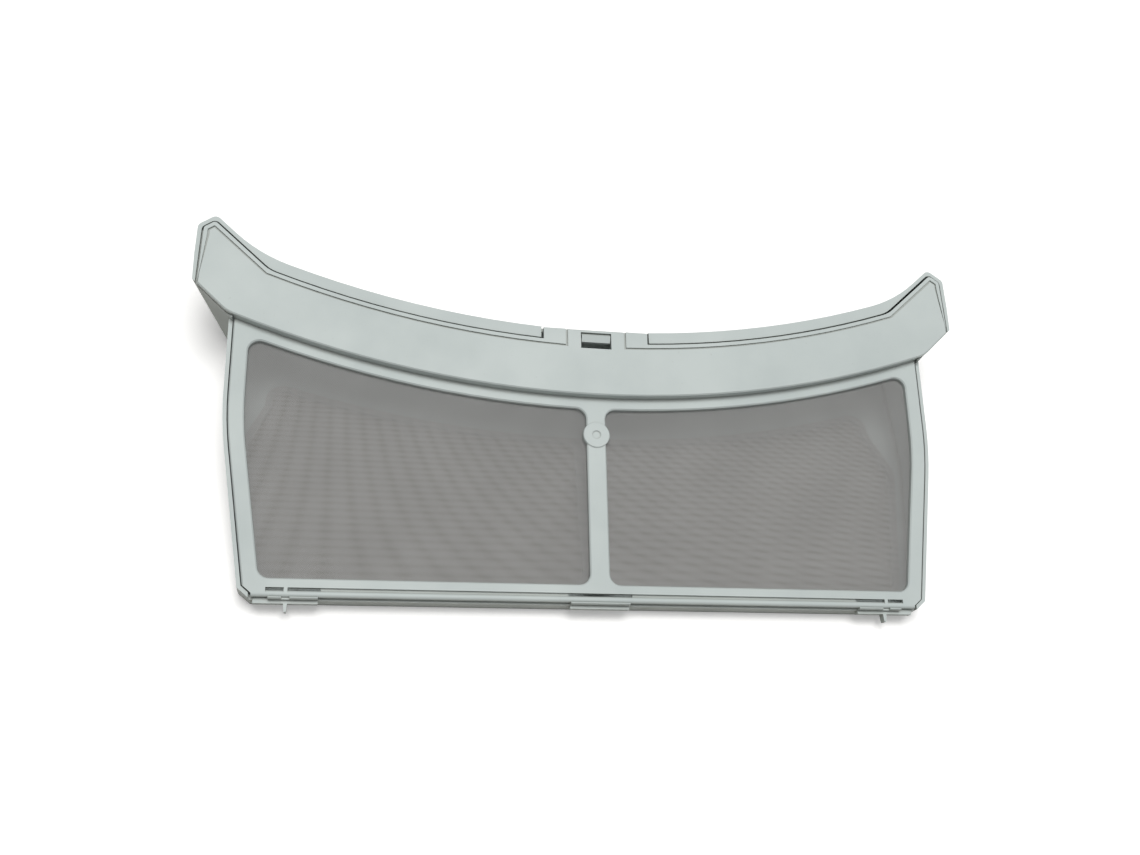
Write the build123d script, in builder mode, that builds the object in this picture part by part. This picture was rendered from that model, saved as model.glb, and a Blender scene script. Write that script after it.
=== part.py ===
"""Fold-open lint filter cassette of a tumble dryer, lying on its flat back.

X runs along the width, Y from the hinge up to the horns, Z up from the back.
The lid lies on a plane of its own, tilted about X: sizes called rise run up
that plane from the window sills, and sizes called level stand out of it.
All sizes are in millimetres.
"""

import os
from math import cos, radians, sin, sqrt

from build123d import *

os.makedirs("parts", exist_ok=True)

# Lie of the lid over the flat back
wedge_angle = 12.0
sill_y = -66.7
sill_height = 13.3

# Leaf of the lid
leaf_thickness = 2.2
sill_border = 6.9
leaf_bottom_half = 134.2
leaf_flare = 10.5
leaf_kink_rise = 61.0
leaf_kink_fillet = 150.0
leaf_top_flare = 0.1
leaf_bevel = 0.5
side_border = 6.0
bar_width = 7.8
window_corner = 4.5
boss_radius = 5.45
boss_rise = 61.5
boss_level = 0.5
boss_bevel = 0.3
dimple_radius = 1.6
dimple_depth = 1.0

# Curved bezel, with one centre for all its arcs
arc_centre = 497.7
window_top_radius = 425.0
head_border = 4.7
panel_height = 20.3
ledge_width = 2.4
rim_strip = 5.6
bezel_level = 4.4
bezel_thickness = 2.2
bezel_bevel = 0.5
step_wall = 2.0
ledge_depth = 0.8

# Horns at both ends of the bezel
knee_overhang = 2.8
horn_reach = 11.9
horn_lift = 11.2
horn_end_height = 24.4
horn_end_lean = 0.9
horn_corner_in = 4.2
horn_corner_up = 2.9
horn_root_in = 15.1
horn_root_fillet = 14.0
horn_corner_fillet = 1.6
knee_fillet = 12.0

# Centre block with the latch window
block_half = 21.9
tab_half = 11.85
latch_half = 6.4
latch_height = 7.0
latch_bridge = 1.2

# Rear tray
back_thickness = 2.2
tray_wall = 1.5
rim_wall = 1.6
seam_gap = 0.5
rim_gap = 0.9
side_drop = 0.7
rim_drop = 1.0
rim_thickness = 2.0
bottom_overhang = 0.7
tray_corner = 4.0
rim_root_fillet = 60.0
horn_back_lean = 20.5
horn_back_inset = 1.0
horn_back_level = 2.0

# Windows in the back, measured along it from the sill line
rear_sill = 5.2
rear_top_low = 69.9
rear_gusset_in = 9.0
rear_gusset_drop = 9.2
rear_gusset_height = 19.0
bend_fillet = 8.0

# Lint inlets in the top wall
inlets_a_side = 3
inlet_first_half = 27.0
inlet_last_half = 126.0
inlet_rib = 4.8
inlet_level = -5.0
inlet_depth = 24.0

# Latch tongue on the top wall
tongue_gap = 0.4
tongue_reach = 3.6
tongue_stand = 0.3
tongue_nose = 1.0
tongue_thickness = 2.0
tongue_root = 12.0

# Hinge rod on the lid, clips and fins on the tray
rod_radius = 1.25
slot_width = 1.0
slot_inset = 7.8
web_depth = 1.1
web_thickness = 1.4
clip_clearance = 0.08
clip_lip = 0.72
clip_start = 140.0
clip_end = 300.0
clip_length = 23.5
clip_end_gap = 1.0
outer_clip_inset = 15.1
slit_width = 3.0
slit_end = 182.0
foot_reach = 3.3
foot_top = 1.4
foot_height = 3.0
wall_gap = 0.7
fin_reach = 3.1
fin_root = 2.0
fin_tip = 0.8
fin_depth = 3.4

# Mesh sheets
mesh_thickness = 0.3
mesh_overlap = 2.5
mesh_strand = 1.6
mesh_columns = 12
mesh_rows = 5

# Widths, radii, levels and rises that follow from these
leaf_kink_half = leaf_bottom_half + leaf_flare
leaf_top_half = leaf_kink_half + leaf_top_flare
slot_half = leaf_bottom_half - slot_inset
outer_clip_half = leaf_bottom_half - outer_clip_inset
bezel_radius = window_top_radius - head_border
lip_radius = bezel_radius - panel_height
edge_radius = lip_radius - ledge_width
rim_radius = edge_radius - rim_strip
step_inner_radius = bezel_radius - step_wall
plate_level = bezel_level - bezel_thickness
rim_level = bezel_level - rim_drop
opening_level = rim_level - rim_thickness
rod_rise = rod_radius - sill_border
rod_level = -rod_radius
slot_rise = rod_rise + rod_radius + slot_width
bottom_inner = -sill_border - bottom_overhang + rim_wall
block_top = arc_centre - rim_radius
latch_top = block_top - latch_bridge
clip_inner = rod_radius + clip_clearance
clip_outer = clip_inner + clip_lip
clip_half = clip_length / 2
clip_places = (-outer_clip_half, 0, outer_clip_half)
inner_corner = tray_corner + (sqrt(2) - 1) * tray_wall - rim_wall
leaf_corner = inner_corner + (sqrt(2) - 1) * seam_gap - (rod_rise - bottom_inner)
beyond = 3 * leaf_bottom_half
touch = 0.001

lid_plane = Plane(
    origin=(0, sill_y, sill_height),
    x_dir=(1, 0, 0),
    z_dir=(0, -sin(radians(wedge_angle)), cos(radians(wedge_angle))),
)
lid_axis = Axis(lid_plane.origin, lid_plane.z_dir)


def arc_rise(radius, x):
    """Rise of one of the concentric arcs at a distance x from the middle."""
    return arc_centre - sqrt(radius**2 - x**2)


def leaf_half(rise):
    """Half width of the leaf at a rise below its kink."""
    share = (rise + sill_border) / (leaf_kink_rise + sill_border)
    return leaf_bottom_half + share * (leaf_kink_half - leaf_bottom_half)


def both_sides(right):
    """A closed outline from the points of its right half, lowest first."""
    return right + [(-x, y) for x, y in reversed(right)]


def section_plane(x, rise, level):
    """Plane across the width: first axis up the leaf, second out of it."""
    origin = lid_plane.from_local_coords((x, rise, level))
    return Plane(origin=origin, x_dir=lid_plane.y_dir, z_dir=(1, 0, 0))


# Corner points of the right horn
knee_x = leaf_top_half + knee_overhang
knee = (knee_x, arc_rise(bezel_radius, knee_x))
tip = (knee_x + horn_reach, knee[1] + horn_lift)
end = (tip[0] - horn_end_lean, tip[1] + horn_end_height)
apex = (end[0] - horn_corner_in, end[1] + horn_corner_up)
horn_root_half = knee_x - horn_root_in
root = (horn_root_half, arc_rise(edge_radius, horn_root_half))
heel = (horn_root_half, arc_rise(bezel_radius, horn_root_half))
horn_slope = Vector(horn_reach, horn_lift).normalized()
leaf_top_rise = arc_rise(bezel_radius, leaf_top_half) + step_wall
rod_half = leaf_half(rod_rise) - leaf_corner
deep = sill_height + leaf_top_rise

# Gussets in the upper outer corners of the back's windows
rear_arc_middle = sill_y + rear_top_low + window_top_radius
gusset_x = leaf_kink_half - side_border - rear_gusset_in
gusset_high = rear_arc_middle - sqrt(window_top_radius**2 - gusset_x**2) - rear_gusset_drop
gusset_low = gusset_high - rear_gusset_height


def polygon_sketch(points):
    """A filled outline."""
    with BuildSketch() as filled:
        with BuildLine():
            Polyline(points, close=True)
        make_face()
    return filled.sketch


def band_sketch(outer_radius, inner_radius, half_width):
    """The lower stretch of a ring about the arcs' centre."""
    with BuildSketch() as band:
        with Locations((0, arc_centre)):
            Circle(outer_radius)
            Circle(inner_radius, mode=Mode.SUBTRACT)
        Rectangle(2 * half_width, beyond, mode=Mode.INTERSECT)
    return band.sketch


def corners_at(sketch, rise):
    """Corners of a sketch at a given rise."""
    return [corner for corner in sketch.vertices() if abs(corner.Y - rise) < touch]


def corner_near(sketch, side, point):
    """Corner of a sketch that is nearest to a point, on the right or mirrored to the left."""
    return sketch.vertices().sort_by_distance((side * point[0], point[1]))[0]


def leaf_sketch(grow, low, corner):
    """The leaf's width up to its step wall, grown sideways, from a low rise up."""
    sides = [
        (leaf_half(low) + grow, low),
        (leaf_kink_half + grow, leaf_kink_rise),
        (leaf_top_half + grow, leaf_top_rise),
    ]
    with BuildSketch() as leaf:
        add(polygon_sketch(both_sides(sides)))
        chamfer(leaf.vertices().group_by(Axis.Y)[0], corner)
        fillet(corners_at(leaf, leaf_kink_rise), leaf_kink_fillet + grow)
        with Locations((0, arc_centre)):
            Circle(step_inner_radius, mode=Mode.SUBTRACT)
    return leaf.sketch


def horned_sketch(top_radius):
    """The bezel with both horns, up to an arc of the given radius."""
    with BuildSketch() as horned:
        add(band_sketch(bezel_radius, top_radius, knee_x))
        for side in (1, -1):
            add(polygon_sketch([(side * x, y) for x, y in (heel, knee, tip, end, apex, root)]))
    return horned.sketch


def grown_sketch(sketch, amount):
    """A sketch grown all round, with its outer corners rounded."""
    with BuildSketch() as grown:
        add(sketch)
        offset(amount=amount)
    return grown.sketch


def under_horns(shift):
    """What lies below the horns' lower edges, moved up by a wall."""
    lift = Vector(-horn_slope.Y, horn_slope.X) * shift
    start = Vector(knee) + lift - horn_slope * horn_reach
    stop = Vector(tip) + lift + horn_slope * horn_reach
    outline = [(start.X, start.Y), (stop.X, stop.Y), (stop.X, -beyond), (start.X, -beyond)]
    with BuildSketch() as under:
        for side in (1, -1):
            add(polygon_sketch([(side * x, y) for x, y in outline]))
    return under.sketch


def horn_back_plane(side, inset):
    """Slanted plane across the back of one horn, moved in by a wall."""
    lean = radians(horn_back_lean)
    start = tip[0] + rim_gap + rim_wall - horn_back_inset - inset / cos(lean)
    origin = lid_plane.from_local_coords((side * start, 0, horn_back_level))
    outward = lid_plane.x_dir * (side * cos(lean)) - lid_plane.z_dir * sin(lean)
    return Plane(origin=origin, z_dir=outward)


def ring_sketch(first_angle, last_angle):
    """Part of the ring that a hinge clip makes round the rod."""
    far = 2 * clip_outer
    middle = (first_angle + last_angle) / 2
    corners = [(far * cos(radians(a)), far * sin(radians(a))) for a in (first_angle, middle, last_angle)]
    with BuildSketch() as ring:
        Circle(clip_outer)
        Circle(clip_inner, mode=Mode.SUBTRACT)
        add(polygon_sketch([(0, 0)] + corners), mode=Mode.INTERSECT)
    return ring.sketch


def window_sketch(sides, bend_radii, arc_middle):
    """Two windows with a bar between them, under an arc, with round corners and bends."""
    bend_rises = [rise for x, rise in sides[1:-1]]
    with BuildSketch() as windows:
        add(polygon_sketch(both_sides(sides)))
        with Locations((0, arc_middle)):
            Circle(window_top_radius, mode=Mode.SUBTRACT)
        with Locations((0, sides[0][1])):
            Rectangle(bar_width, beyond, mode=Mode.SUBTRACT)
        bends = [corner for rise in bend_rises for corner in corners_at(windows, rise)]
        fillet([corner for corner in windows.vertices() if corner not in bends], window_corner)
        for rise, radius in zip(bend_rises, bend_radii):
            fillet(corners_at(windows, rise), radius)
    return windows.sketch


def sheet_sketch(windows, low, top):
    """Mesh behind two windows and the bar between them, with a plain grid for its weave."""
    box = windows.bounding_box()
    column = box.size.X / mesh_columns
    row = box.size.Y / mesh_rows
    with BuildSketch() as grid:
        with Locations(box.center()):
            with GridLocations(column, row, mesh_columns, mesh_rows):
                Rectangle(column - mesh_strand, row - mesh_strand)
        add(grown_sketch(windows, -mesh_strand), mode=Mode.INTERSECT)
    with BuildSketch() as sheet:
        add(windows)
        with Locations((0, (low + top) / 2)):
            Rectangle(bar_width + 2 * window_corner, top - low)
        offset(amount=mesh_overlap)
        add(grid.sketch, mode=Mode.SUBTRACT)
    return sheet.sketch


# Windows of the lid and of the back
lid_windows = window_sketch(
    [
        (leaf_half(0) - side_border, 0),
        (leaf_kink_half - side_border, leaf_kink_rise),
        (leaf_top_half - side_border, leaf_top_rise),
    ],
    [leaf_kink_fillet - side_border],
    arc_centre,
)
rear_windows = window_sketch(
    [
        (leaf_half(0) - side_border, sill_y + rear_sill),
        (leaf_kink_half - side_border, gusset_low),
        (gusset_x, gusset_high),
        (gusset_x, sill_y + leaf_top_rise),
    ],
    [bend_fillet, bend_fillet],
    rear_arc_middle,
)

# Bezel with its centre block and round corners
with BuildSketch() as bezel:
    add(horned_sketch(edge_radius))
    with Locations((0, block_top)):
        Rectangle(2 * block_half, panel_height, align=(Align.CENTER, Align.MAX))
    for side in (1, -1):
        fillet(corner_near(bezel, side, root), horn_root_fillet)
        fillet(corner_near(bezel, side, knee), knee_fillet)
        for point in (tip, end, apex):
            fillet(corner_near(bezel, side, point), horn_corner_fillet)

# Part of the bezel that stands above the ledge along its upper edge
with BuildSketch() as panel:
    add(grown_sketch(horned_sketch(edge_radius), -ledge_width))
    add(band_sketch(bezel_radius, bezel_radius - 2 * ledge_width, knee_x))
    ledge_start = (end[0] - ledge_width, end[1] - horn_corner_up)
    for side in (1, -1):
        add(polygon_sketch([(side * x, y) for x, y in (heel, knee, tip, ledge_start)]))
    with Locations((0, block_top)):
        Rectangle(2 * tab_half, panel_height, align=(Align.CENTER, Align.MAX))

# Rim of the tray round the bezel
tray_top_radius = rim_radius + rim_wall + rim_gap
with BuildSketch() as rim_outside:
    add(grown_sketch(horned_sketch(tray_top_radius), rim_gap + rim_wall))
    for side in (1, -1):
        fillet(corner_near(rim_outside, side, root), rim_root_fillet)
    add(under_horns(0), mode=Mode.SUBTRACT)
with BuildSketch() as rim_inside:
    add(grown_sketch(horned_sketch(tray_top_radius), rim_gap))
    for side in (1, -1):
        fillet(corner_near(rim_inside, side, root), rim_root_fillet + rim_wall)
    add(under_horns(rim_wall), mode=Mode.SUBTRACT)
bezel_room = grown_sketch(bezel.sketch, rim_gap)

# Leaf of the lid, with its windows and its sides bevelled at the front
with BuildPart() as leaf_plate:
    with BuildSketch(lid_plane):
        add(leaf_sketch(0, rod_rise, leaf_corner))
        add(lid_windows, mode=Mode.SUBTRACT)
        with Locations((0, rod_rise)):
            Rectangle(2 * slot_half, 2 * (slot_rise - rod_rise), mode=Mode.SUBTRACT)
    extrude(amount=-leaf_thickness)
    leaf_front = leaf_plate.faces().sort_by(lid_axis)[-1]
    window_edges = [edge for wire in leaf_front.inner_wires() for edge in wire.edges()]
    outer_edges = leaf_front.outer_wire().edges()
    side_edges = [edge for edge in outer_edges if abs(edge.center().X) > leaf_bottom_half]
    chamfer(window_edges + side_edges, leaf_bevel)

# Plate of the bezel, bevelled at the front, with a ledge along its upper edge
with BuildPart() as bezel_plate:
    with BuildSketch(lid_plane.offset(plate_level)):
        add(bezel.sketch)
    extrude(amount=bezel_thickness)
    chamfer(bezel_plate.faces().sort_by(lid_axis)[-1].edges(), bezel_bevel)
    with BuildSketch(lid_plane.offset(bezel_level)):
        add(bezel.sketch)
        add(panel.sketch, mode=Mode.SUBTRACT)
    extrude(amount=-ledge_depth, mode=Mode.SUBTRACT)

# Boss on the centre bar, with the dimple of the moulding gate
with BuildPart() as boss:
    with BuildSketch(lid_plane.offset(-leaf_thickness)):
        with Locations((0, boss_rise)):
            Circle(boss_radius)
    extrude(amount=leaf_thickness + boss_level)
    with BuildSketch(lid_plane.offset(boss_level)):
        with Locations((0, boss_rise)):
            Circle(dimple_radius)
    extrude(amount=-dimple_depth, mode=Mode.SUBTRACT)
    chamfer(boss.faces().sort_by(lid_axis)[-1].edges(), boss_bevel)

# Lid
with BuildPart() as front_lid:
    add(leaf_plate.part)
    # Hinge rod along the lower edge
    with BuildSketch(section_plane(-rod_half, rod_rise, rod_level)):
        Circle(rod_radius)
    extrude(amount=2 * rod_half)
    # Sunk webs between the clips, and one full web inside each outer clip
    web_start = clip_half + clip_end_gap
    web_stop = outer_clip_half - clip_half - clip_end_gap
    with BuildSketch(lid_plane.offset(-web_depth)):
        with Locations((-(web_start + web_stop) / 2, rod_rise), ((web_start + web_stop) / 2, rod_rise)):
            Rectangle(web_stop - web_start, slot_rise - rod_rise, align=(Align.CENTER, Align.MIN))
    extrude(amount=web_depth - leaf_thickness)
    with BuildSketch(lid_plane):
        with Locations((-outer_clip_half, rod_rise), (outer_clip_half, rod_rise)):
            Rectangle(web_thickness, slot_rise - rod_rise, align=(Align.CENTER, Align.MIN))
    extrude(amount=-leaf_thickness)
    # Step up to the bezel, and its plate with the latch window
    with BuildSketch(lid_plane.offset(-leaf_thickness)):
        add(band_sketch(bezel_radius, step_inner_radius, leaf_top_half))
    extrude(amount=leaf_thickness + plate_level)
    add(bezel_plate.part)
    with BuildSketch(lid_plane.offset(bezel_level)):
        with Locations((0, latch_top)):
            Rectangle(2 * latch_half, latch_height, align=(Align.CENTER, Align.MAX))
    extrude(amount=-bezel_thickness, mode=Mode.SUBTRACT)
    add(boss.part)
front_lid.part.label = "front_lid"
export_step(front_lid.part, "parts/front_lid.step")

# Mesh sheet welded behind the lid's windows
with BuildPart() as front_mesh:
    with BuildSketch(lid_plane.offset(-leaf_thickness)):
        add(sheet_sketch(lid_windows, 0, arc_centre - window_top_radius))
    extrude(amount=-mesh_thickness)
front_mesh.part.label = "front_mesh"
export_step(front_mesh.part, "parts/front_mesh.step")

# Room inside the tray
with BuildPart() as hollow:
    with BuildSketch(lid_plane):
        add(leaf_sketch(seam_gap, bottom_inner, inner_corner))
    extrude(amount=deep, both=True)
    with BuildSketch(lid_plane.offset(opening_level)):
        add(rim_inside.sketch)
    extrude(amount=-deep)
    split(bisect_by=Plane.XY.offset(back_thickness), keep=Keep.TOP)
    for side in (1, -1):
        split(bisect_by=horn_back_plane(side, rim_wall), keep=Keep.BOTTOM)
    with BuildSketch(lid_plane.offset(opening_level)):
        add(bezel_room)
    extrude(amount=deep)

# Shell of the tray
with BuildPart() as tray_shell:
    with BuildSketch(lid_plane.offset(-side_drop)):
        add(leaf_sketch(seam_gap + tray_wall, bottom_inner - rim_wall, tray_corner))
    extrude(amount=-deep)
    with BuildSketch(lid_plane.offset(rim_level)):
        add(rim_outside.sketch)
    extrude(amount=-deep)
    split(bisect_by=Plane.XY, keep=Keep.TOP)
    for side in (1, -1):
        split(bisect_by=horn_back_plane(side, 0), keep=Keep.BOTTOM)
    add(hollow.part, mode=Mode.SUBTRACT)
    # Room for the hinge rod over the bottom wall
    rod_room = rod_half + clip_end_gap
    with BuildSketch(section_plane(-rod_room, rod_rise, rod_level)):
        with Locations((0, -rod_radius - wall_gap)):
            Rectangle(sill_border, sill_border, align=(Align.CENTER, Align.MIN))
    extrude(amount=2 * rod_room, mode=Mode.SUBTRACT)
    # Windows in the back
    with BuildSketch():
        add(rear_windows)
    extrude(amount=back_thickness, mode=Mode.SUBTRACT)
    # Lint inlets, in rows on both sides of the latch
    with BuildSketch(lid_plane.offset(inlet_level)):
        add(band_sketch(rim_radius + 2 * rim_wall, rim_radius - rim_wall, inlet_last_half))
        inlet_pitch = (inlet_last_half - inlet_first_half + inlet_rib) / inlets_a_side
        for rib in range(1, inlets_a_side):
            rib_x = inlet_first_half + rib * inlet_pitch - inlet_rib / 2
            with Locations((-rib_x, 0), (rib_x, 0)):
                Rectangle(inlet_rib, beyond, mode=Mode.SUBTRACT)
        Rectangle(2 * inlet_first_half, beyond, mode=Mode.SUBTRACT)
    extrude(amount=-inlet_depth, mode=Mode.SUBTRACT)
    # Latch tongue, with its nose in the lid's latch window
    wall_face = arc_centre - rim_radius - rim_wall
    nose_top = latch_top - tongue_gap
    nose_low = nose_top - tongue_reach
    tongue_half = latch_half - tongue_gap
    with BuildSketch(section_plane(-tongue_half, 0, 0)):
        with BuildLine():
            Polyline(
                (wall_face + rim_wall / 2, -tongue_root),
                (wall_face + rim_wall / 2, opening_level - tongue_gap),
                (nose_top, opening_level - tongue_gap),
                (nose_top, bezel_level + tongue_stand - tongue_nose),
                (nose_top - tongue_nose, bezel_level + tongue_stand),
                (nose_low, bezel_level + tongue_stand - tongue_nose),
                (nose_low, plate_level),
                (nose_top - tongue_thickness, opening_level - tongue_gap),
                (nose_top - tongue_thickness, tongue_thickness - tongue_root),
                close=True,
            )
        make_face()
    extrude(amount=2 * tongue_half)

# Tray: its hinge clips, each a foot on the bottom wall and a lip round the rod, and its shell
with BuildPart() as rear_tray:
    foot_width = foot_reach + bottom_inner - rim_wall / 2 - rod_rise
    for clip in clip_places:
        lip_start = max(clip - clip_half, clip_end_gap - slot_half)
        lip_stop = min(clip + clip_half, slot_half - clip_end_gap)
        with BuildSketch(section_plane(clip - clip_half, rod_rise, rod_level)):
            with Locations((-foot_reach, -foot_top)):
                Rectangle(foot_width, foot_height, align=(Align.MIN, Align.MAX))
        extrude(amount=clip_length)
        with BuildSketch(section_plane(lip_start, rod_rise, rod_level)):
            add(ring_sketch(clip_start, clip_end))
        extrude(amount=lip_stop - lip_start)
    # Slit in each outer lip for the lid's web, and the fin below it
    for clip in (-outer_clip_half, outer_clip_half):
        with BuildSketch(section_plane(clip - slit_width / 2, rod_rise, rod_level)):
            add(ring_sketch(clip_start - clip_clearance, slit_end))
        extrude(amount=slit_width, mode=Mode.SUBTRACT)
        with BuildSketch(lid_plane.offset(rod_level - foot_top)):
            fin_rise = rod_rise - foot_reach
            fin_half = (fin_root / 2, fin_tip / 2)
            add(polygon_sketch([
                (clip - fin_half[0], fin_rise + fin_root),
                (clip - fin_half[1], fin_rise - fin_reach),
                (clip + fin_half[1], fin_rise - fin_reach),
                (clip + fin_half[0], fin_rise + fin_root),
            ]))
        extrude(amount=-fin_depth)
    add(tray_shell.part)
rear_tray.part.label = "rear_tray"
export_step(rear_tray.part, "parts/rear_tray.step")

# Mesh sheet welded on the inside of the back
with BuildPart() as rear_mesh:
    with BuildSketch(Plane.XY.offset(back_thickness)):
        add(sheet_sketch(rear_windows, sill_y + rear_sill, sill_y + rear_top_low))
    extrude(amount=mesh_thickness)
rear_mesh.part.label = "rear_mesh"
export_step(rear_mesh.part, "parts/rear_mesh.step")
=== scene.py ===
"""Looks of a fold-open tumble dryer lint filter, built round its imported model.

All lengths are in metres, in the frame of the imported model.
"""

import math

import bmesh
import bpy
from mathutils import Matrix, Vector


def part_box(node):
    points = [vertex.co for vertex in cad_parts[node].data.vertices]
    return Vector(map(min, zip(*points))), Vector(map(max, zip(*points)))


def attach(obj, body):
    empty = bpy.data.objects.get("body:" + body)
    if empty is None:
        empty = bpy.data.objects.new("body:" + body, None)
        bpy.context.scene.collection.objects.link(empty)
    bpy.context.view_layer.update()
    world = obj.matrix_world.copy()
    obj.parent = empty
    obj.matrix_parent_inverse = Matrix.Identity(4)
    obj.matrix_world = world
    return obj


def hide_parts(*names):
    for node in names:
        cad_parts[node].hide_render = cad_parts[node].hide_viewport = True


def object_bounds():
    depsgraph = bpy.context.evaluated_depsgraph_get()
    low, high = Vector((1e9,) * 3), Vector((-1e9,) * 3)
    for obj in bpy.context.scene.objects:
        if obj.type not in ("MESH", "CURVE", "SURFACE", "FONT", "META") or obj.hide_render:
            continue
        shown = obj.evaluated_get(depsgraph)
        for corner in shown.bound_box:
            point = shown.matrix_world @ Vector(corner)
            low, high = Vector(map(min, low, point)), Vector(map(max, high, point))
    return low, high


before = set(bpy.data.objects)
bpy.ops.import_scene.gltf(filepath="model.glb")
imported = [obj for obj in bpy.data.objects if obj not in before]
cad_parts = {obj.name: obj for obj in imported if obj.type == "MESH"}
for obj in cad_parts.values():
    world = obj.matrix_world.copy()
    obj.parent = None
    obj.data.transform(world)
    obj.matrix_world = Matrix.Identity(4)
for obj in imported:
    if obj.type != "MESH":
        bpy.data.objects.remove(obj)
cad_low, cad_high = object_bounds()

# Moulded plastic: linear colours, noises as scale, detail and roughness, then the surface
plastic_light = (0.535, 0.590, 0.582, 1.0)
plastic_shade = (0.490, 0.545, 0.540, 1.0)
# Colour of the plastic's specks, and of the painted shade in corners and gaps
plastic_specks_and_painted_shade = (0.300, 0.305, 0.275, 1.0)
cloud_noise = (28.0, 4.0, 0.55)
cloud_edges = (0.35, 0.68)
speck_noise = (900.0, 3.0, 0.6)
speck_edges = (0.66, 0.80)
speck_share = 0.30
grain_noise = (2600.0, 2.0, 0.5)
grain_strength = 0.16
grain_height = 0.00012
plastic_roughness = (0.48, 0.60)
plastic_specular = 0.30
roughness_edges = (0.3, 0.7)

# Painted shade in corners: how far off a wall counts, openness at full and at no painted shade, largest
# share
wide_painted_shade = (0.0060, 0.25, 0.85, 0.32)
tight_painted_shade = (0.0022, 0.60, 0.97, 0.35)

# Woven mesh
thread_light = (0.620, 0.620, 0.615, 1.0)
# Painted shade where one thread dips under the next
thread_painted_shade = (0.400, 0.400, 0.396, 1.0)
thread_pitch = 0.00033
thread_width = 0.00011
layer_gap = 0.00008
thread_roughness = (0.38, 0.55)
dust_noise = (0.012, 3.0, 0.6)
dust_edges = (0.42, 0.72)
dust_share = 0.35

# Bead along the upper edge of the bezel
groove_width = 0.0009
bead_height = 0.0007

# How close points, levels and directions have to be to count as the same
same_point = 1e-6
same_sheet = 1e-5
same_level = 0.0001
same_way = 0.999

# Floor, and the darker table that shows through the mesh
floor_half = 0.6
floor_seen = (0.97, 0.97, 0.97, 1.0)
floor_bounce = (0.33, 0.30, 0.25, 1.0)
floor_glow = 0.24
floor_roughness = 0.9
floor_specular = 0.1
table_colour = (0.26, 0.24, 0.20, 1.0)
table_roughness = 0.8
table_lift = 0.0001
table_taper = 0.008

# Lights
key_place = (-0.10, 0.10, 2.50)
key_size = 1.3
key_power = 50.0
key_colour = (1.0, 0.99, 0.97)
fill_place = (0.7, -0.5, 0.9)
fill_size = 1.2
fill_power = 1.2
fill_colour = (0.94, 0.97, 1.0)
world_colour = (1.0, 1.0, 1.0, 1.0)
world_light = 0.22

# Camera, fitted to the photograph
camera_place = (-0.10594, -0.25137, 0.43264)
camera_right = (0.97948, -0.06119, 0.19201)
camera_up = (-0.04674, 0.85784, 0.51181)
camera_back = (-0.19603, -0.51028, 0.83737)
camera_sensor = 36.0
camera_lens = 37.895
camera_nearest = 0.01


def new_material(name):
    """A new material with its node tree and its main shader."""
    material = bpy.data.materials.new(name)
    material.use_nodes = True
    tree = material.node_tree
    shader = next(node for node in tree.nodes if node.type == "BSDF_PRINCIPLED")
    return material, tree, shader


def noise(tree, coordinates, settings):
    """A noise texture on given coordinates, set by its scale, detail and roughness."""
    node = tree.nodes.new("ShaderNodeTexNoise")
    for name, value in zip(("Scale", "Detail", "Roughness"), settings):
        node.inputs[name].default_value = value
    tree.links.new(coordinates, node.inputs["Vector"])
    return node.outputs["Fac"]


def remapped(tree, value, source, target):
    """A value taken from one range to another, and held inside it."""
    node = tree.nodes.new("ShaderNodeMapRange")
    node.inputs["From Min"].default_value = source[0]
    node.inputs["From Max"].default_value = source[1]
    node.inputs["To Min"].default_value = target[0]
    node.inputs["To Max"].default_value = target[1]
    tree.links.new(value, node.inputs["Value"])
    return node.outputs["Result"]


def mixed(tree, share, first, second):
    """A colour between two, each of them a fixed colour or the output of a node."""
    node = tree.nodes.new("ShaderNodeMix")
    node.data_type = "RGBA"
    tree.links.new(share, node.inputs["Factor"])
    for name, colour in (("A", first), ("B", second)):
        socket = next(s for s in node.inputs if s.name == name and s.type == "RGBA")
        if isinstance(colour, bpy.types.NodeSocket):
            tree.links.new(colour, socket)
        else:
            socket.default_value = colour
    return next(s for s in node.outputs if s.type == "RGBA")


def bumped(tree, shader, height, strength, distance):
    """Small height differences on a shader's surface."""
    node = tree.nodes.new("ShaderNodeBump")
    node.inputs["Strength"].default_value = strength
    node.inputs["Distance"].default_value = distance
    tree.links.new(height, node.inputs["Height"])
    tree.links.new(node.outputs["Normal"], shader.inputs["Normal"])


def plastic_material():
    """Pale grey moulded plastic: fine grain, faint clouds, specks, and painted shade in the corners."""
    material, tree, shader = new_material("moulded_plastic")
    place = tree.nodes.new("ShaderNodeTexCoord").outputs["Object"]
    clouds = noise(tree, place, cloud_noise)
    specks = noise(tree, place, speck_noise)
    grain = noise(tree, place, grain_noise)
    colour = mixed(tree, remapped(tree, clouds, cloud_edges, (0.0, 1.0)), plastic_light, plastic_shade)
    # Painted shade: the colour darkens where ambient occlusion finds walls close by
    for reach, low, high, most in (wide_painted_shade, tight_painted_shade):
        corner = tree.nodes.new("ShaderNodeAmbientOcclusion")
        corner.inputs["Distance"].default_value = reach
        share = remapped(tree, corner.outputs["AO"], (low, high), (most, 0.0))
        colour = mixed(tree, share, colour, plastic_specks_and_painted_shade)
    colour = mixed(tree, remapped(tree, specks, speck_edges, (0.0, speck_share)), colour, plastic_specks_and_painted_shade)
    tree.links.new(colour, shader.inputs["Base Color"])
    tree.links.new(remapped(tree, clouds, roughness_edges, plastic_roughness), shader.inputs["Roughness"])
    shader.inputs["Specular IOR Level"].default_value = plastic_specular
    bumped(tree, shader, grain, grain_strength, grain_height)
    return material


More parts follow.
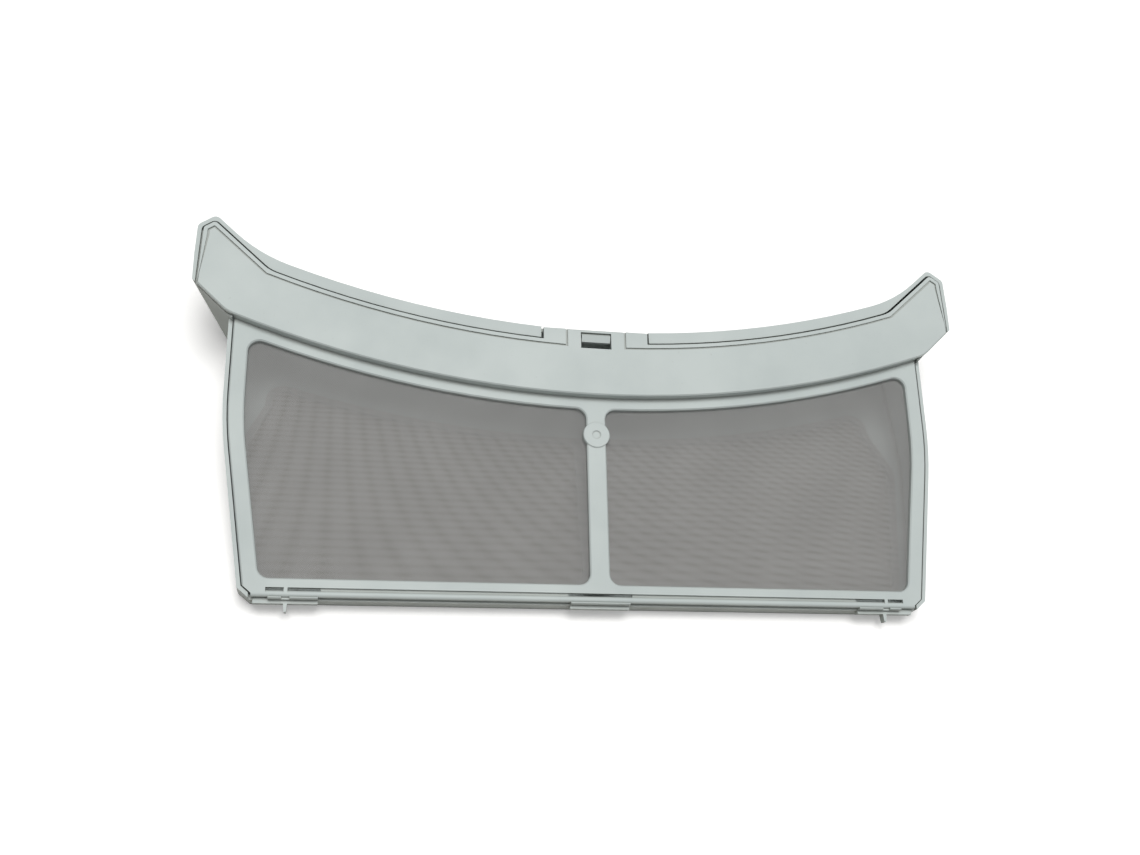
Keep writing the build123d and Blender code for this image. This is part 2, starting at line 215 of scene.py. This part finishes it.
def mesh_material():
    """Grey monofilament, with painted shade where one thread dips under the next."""
    material, tree, shader = new_material("woven_monofilament")
    place = tree.nodes.new("ShaderNodeUVMap").outputs["UV"]
    checker = tree.nodes.new("ShaderNodeTexChecker")
    checker.inputs["Scale"].default_value = 1.0
    tree.links.new(place, checker.inputs["Vector"])
    clouds = noise(tree, place, dust_noise)
    # Painted shade in a checker, on the parts of the threads that would lie under the crossing ones
    weave = mixed(tree, checker.outputs["Fac"], thread_light, thread_painted_shade)
    dust = mixed(tree, remapped(tree, clouds, dust_edges, (0.0, dust_share)), weave, thread_light)
    tree.links.new(dust, shader.inputs["Base Color"])
    tree.links.new(remapped(tree, clouds, roughness_edges, thread_roughness), shader.inputs["Roughness"])
    return material


def welded_mesh(node, plane):
    """A node's mesh with its points joined, and those points in the axes of a plane."""
    mesh = bmesh.new()
    mesh.from_mesh(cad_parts[node].data)
    bmesh.ops.remove_doubles(mesh, verts=mesh.verts, dist=same_point)
    mesh.normal_update()
    local = plane.inverted()
    return mesh, {vert: local @ vert.co for vert in mesh.verts}


def new_piece(name, mesh, material):
    """An object in the scene that holds a finished mesh."""
    bmesh.ops.recalc_face_normals(mesh, faces=mesh.faces)
    data = bpy.data.meshes.new(name)
    mesh.to_mesh(data)
    mesh.free()
    data.materials.append(material)
    piece = bpy.data.objects.new(name, data)
    bpy.context.scene.collection.objects.link(piece)
    return piece


def wall_faces(mesh, first, second):
    """Faces between two rings with the same number of points."""
    faces = []
    for n in range(len(first)):
        m = (n + 1) % len(first)
        faces.append(mesh.faces.new((first[n], first[m], second[m], second[n])))
    return faces


def sheet_outline(node, plane):
    """Outer outline of a flat node in the axes of a plane, as edges, and the level of its middle."""
    mesh, points = welded_mesh(node, plane)
    top = max(point.z for point in points.values())
    flat = {face for face in mesh.faces if all(top - points[v].z < same_sheet for v in face.verts)}
    border = {edge for edge in mesh.edges if sum(face in flat for face in edge.link_faces) == 1}
    # From the corner that lies furthest out, follow the border all round the sheet
    waiting = [max((vert for edge in border for vert in edge.verts), key=lambda vert: points[vert].x)]
    edges = []
    while waiting:
        vert = waiting.pop()
        for edge in border.intersection(vert.link_edges):
            border.remove(edge)
            edges.append([(points[v].x, points[v].y) for v in edge.verts])
            waiting.append(edge.other_vert(vert))
    depth = top - min(point.z for point in points.values())
    mesh.free()
    return edges, top - depth / 2


def crossings(edges, axis, value):
    """Sorted places where a line at a value of one axis crosses the outline."""
    found = []
    for a, b in edges:
        if (a[axis] > value) != (b[axis] > value):
            share = (value - a[axis]) / (b[axis] - a[axis])
            found.append(a[1 - axis] + share * (b[1 - axis] - a[1 - axis]))
    return sorted(found)


def add_thread(mesh, weave_map, plane, axis, number, level, ends):
    """One straight thread with four sides, mapped so that one unit is one pitch of the weave."""
    half = thread_width / 2
    rings = []
    for along in ends:
        ring = []
        for side, lift in ((half, 0), (0, half), (-half, 0), (0, -half)):
            point = [along, along, level + lift]
            point[axis] = (number + 0.5) * thread_pitch + side
            ring.append(mesh.verts.new(plane @ Vector(point)))
        rings.append(ring)
    faces = [mesh.faces.new(rings[0]), mesh.faces.new(rings[1][::-1])]
    faces += wall_faces(mesh, rings[0], rings[1])
    for face in faces:
        for loop in face.loops:
            along = ends[0] if loop.vert in rings[0] else ends[1]
            weave = [along / thread_pitch, along / thread_pitch]
            weave[axis] = number + 0.5
            loop[weave_map].uv = weave


def woven_sheet(name, node, plane, body, material):
    """Straight threads in two layers that fill the outline of a flat node."""
    edges, middle = sheet_outline(node, plane)
    mesh = bmesh.new()
    weave_map = mesh.loops.layers.uv.new("weave")
    for axis in (0, 1):
        across = [point[axis] for edge in edges for point in edge]
        first = math.ceil(min(across) / thread_pitch)
        last = math.floor(max(across) / thread_pitch)
        level = middle + (0.5 - axis) * layer_gap
        for number in range(first, last + 1):
            places = crossings(edges, axis, (number + 0.5) * thread_pitch)
            for ends in zip(places[0::2], places[1::2]):
                add_thread(mesh, weave_map, plane, axis, number, level, ends)
    sheet = new_piece(name, mesh, material)
    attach(sheet, body)
    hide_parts(node)


def ledge_borders(node, plane):
    """Borders of the ledge just below a node's highest flat faces, in the axes of a plane.

    Each border is a list of points with a mark that says whether the edge after
    the point lies against the higher face. The ledge is on the left of its edges.
    """
    mesh, points = welded_mesh(node, plane)
    upward = plane.to_3x3() @ Vector((0, 0, 1))
    level = {
        face: sum(points[vert].z for vert in face.verts) / len(face.verts)
        for face in mesh.faces
        if face.normal.dot(upward) > same_way
    }
    top = max(level.values())
    ledge_level = max(value for value in level.values() if top - value > same_level)
    ledge = {face for face, value in level.items() if abs(value - ledge_level) < same_level}
    following = {}
    for face in ledge:
        for loop in face.loops:
            others = [other for other in loop.edge.link_faces if other not in ledge]
            if others:
                highest = max(points[vert].z for vert in others[0].verts)
                against_wall = highest - ledge_level > same_level
                following[loop.vert] = (loop.link_loop_next.vert, against_wall)
    borders = []
    while following:
        vert = next(iter(following))
        border = []
        while vert in following:
            next_vert, against_wall = following.pop(vert)
            border.append((points[vert], against_wall))
            vert = next_vert
        borders.append(border)
    mesh.free()
    return borders


def moved_corner(before, corner, after):
    """Where a bead's corner lies, so that a groove stays free beside the higher face."""
    place, wall_after = corner
    wall_before = before[1]
    back = before[0] - place
    ahead = after[0] - place
    if wall_before and wall_after:
        first = Vector((back.y, -back.x, 0)).normalized()
        second = Vector((-ahead.y, ahead.x, 0)).normalized()
        return place + (first + second) * groove_width / (1 + first.dot(second))
    # Where the wall ends, the corner moves along the free edge, but not past its middle
    if wall_before:
        return place + ahead.normalized() * min(groove_width, ahead.length / 2)
    if wall_after:
        return place + back.normalized() * min(groove_width, back.length / 2)
    return place


def bezel_bead(name, node, plane, body, material):
    """A low bead that fills the ledge of a node but for a groove beside the higher face."""
    mesh = bmesh.new()
    for border in ledge_borders(node, plane):
        count = len(border)
        foot = [moved_corner(border[n - 1], border[n], border[(n + 1) % count]) for n in range(count)]
        low = [mesh.verts.new(plane @ point) for point in foot]
        high = [mesh.verts.new(plane @ (point + Vector((0, 0, bead_height)))) for point in foot]
        mesh.faces.new(low[::-1])
        mesh.faces.new(high)
        wall_faces(mesh, low, high)
    bead = new_piece(name, mesh, material)
    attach(bead, body)


def seen_share(tree):
    """1 where the camera looks at a surface, directly or by way of gloss or glass, and else 0."""
    paths = tree.nodes.new("ShaderNodeLightPath")
    seen = paths.outputs["Is Camera Ray"]
    for kind in ("Is Glossy Ray", "Is Transmission Ray"):
        either = tree.nodes.new("ShaderNodeMath")
        either.operation = "MAXIMUM"
        tree.links.new(seen, either.inputs[0])
        tree.links.new(paths.outputs[kind], either.inputs[1])
        seen = either.outputs["Value"]
    return seen


def floor_material():
    """White to the camera, and darker in the light that it throws back."""
    material, tree, shader = new_material("pale_floor")
    seen = seen_share(tree)
    tree.links.new(mixed(tree, seen, floor_bounce, floor_seen), shader.inputs["Base Color"])
    glow = remapped(tree, seen, (0.0, 1.0), (0.0, floor_glow))
    tree.links.new(glow, shader.inputs["Emission Strength"])
    shader.inputs["Emission Color"].default_value = floor_seen
    shader.inputs["Roughness"].default_value = floor_roughness
    shader.inputs["Specular IOR Level"].default_value = floor_specular
    return material


def table_material():
    """Plain dull surface."""
    material, _, shader = new_material("table_top")
    shader.inputs["Base Color"].default_value = table_colour
    shader.inputs["Roughness"].default_value = table_roughness
    return material


def stage_plane(name, low, high, taper, level, material):
    """A flat piece of the stage between two corners, narrower at its low side by a taper."""
    data = bpy.data.meshes.new(name)
    corners = ((low[0] + taper, low[1]), (high[0] - taper, low[1]), (high[0], high[1]), (low[0], high[1]))
    data.from_pydata([(x, y, level) for x, y in corners], [], [(0, 1, 2, 3)])
    data.materials.append(material)
    plane = bpy.data.objects.new(name, data)
    bpy.context.scene.collection.objects.link(plane)


def area_light(name, place, target, size, power, colour):
    """A square lamp that faces a point."""
    data = bpy.data.lights.new(name, "AREA")
    data.size = size
    data.energy = power
    data.color = colour
    lamp = bpy.data.objects.new(name, data)
    lamp.location = place
    lamp.rotation_euler = (Vector(target) - Vector(place)).to_track_quat("-Z", "Y").to_euler()
    bpy.context.scene.collection.objects.link(lamp)


# Plastic of the lid and the tray
plastic = plastic_material()
for node in ("front_lid", "rear_tray"):
    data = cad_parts[node].data
    data.materials.clear()
    data.materials.append(plastic)

# Mesh of the lid, on the lid's own tilted plane, and of the flat back
woven = mesh_material()
upward = [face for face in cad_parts["front_mesh"].data.polygons if face.normal.z > 0]
lid_tilt = max(upward, key=lambda face: face.area).normal
lid_plane = lid_tilt.to_track_quat("Z", "Y").to_matrix().to_4x4()
woven_sheet("woven_front_mesh", "front_mesh", lid_plane, "lid", woven)
woven_sheet("woven_rear_mesh", "rear_mesh", Matrix.Identity(4), "tray", woven)

# Bead on the lid's ledge
bezel_bead("bezel_bead", "front_lid", lid_plane, "lid", plastic)

# Floor and table
floor_low, floor_high = (-floor_half, -floor_half), (floor_half, floor_half)
stage_plane("floor", floor_low, floor_high, 0.0, cad_low.z, floor_material())
mesh_low, mesh_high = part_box("rear_mesh")
stage_plane("table_top", mesh_low, mesh_high, table_taper, cad_low.z + table_lift, table_material())

# Lamps, and a world that is white to the camera
object_middle = (cad_low + cad_high) / 2
area_light("key_light", key_place, object_middle, key_size, key_power, key_colour)
area_light("fill_light", fill_place, object_middle, fill_size, fill_power, fill_colour)
world = bpy.data.worlds.new("studio")
world.use_nodes = True
world_tree = world.node_tree
background = next(node for node in world_tree.nodes if node.type == "BACKGROUND")
background.inputs["Color"].default_value = world_colour
world_seen = world_tree.nodes.new("ShaderNodeLightPath").outputs["Is Camera Ray"]
world_level = remapped(world_tree, world_seen, (0.0, 1.0), (world_light, 1.0))
world_tree.links.new(world_level, background.inputs["Strength"])
bpy.context.scene.world = world

# Camera
camera_data = bpy.data.cameras.new("camera")
camera_data.sensor_width = camera_sensor
camera_data.lens = camera_lens
camera_data.clip_start = camera_nearest
camera = bpy.data.objects.new("camera", camera_data)
turn = Matrix((camera_right, camera_up, camera_back)).transposed()
camera.matrix_world = Matrix.Translation(camera_place) @ turn.to_4x4()
bpy.context.scene.collection.objects.link(camera)
bpy.context.scene.camera = camera
bpy.context.scene.view_settings.view_transform = "Standard"
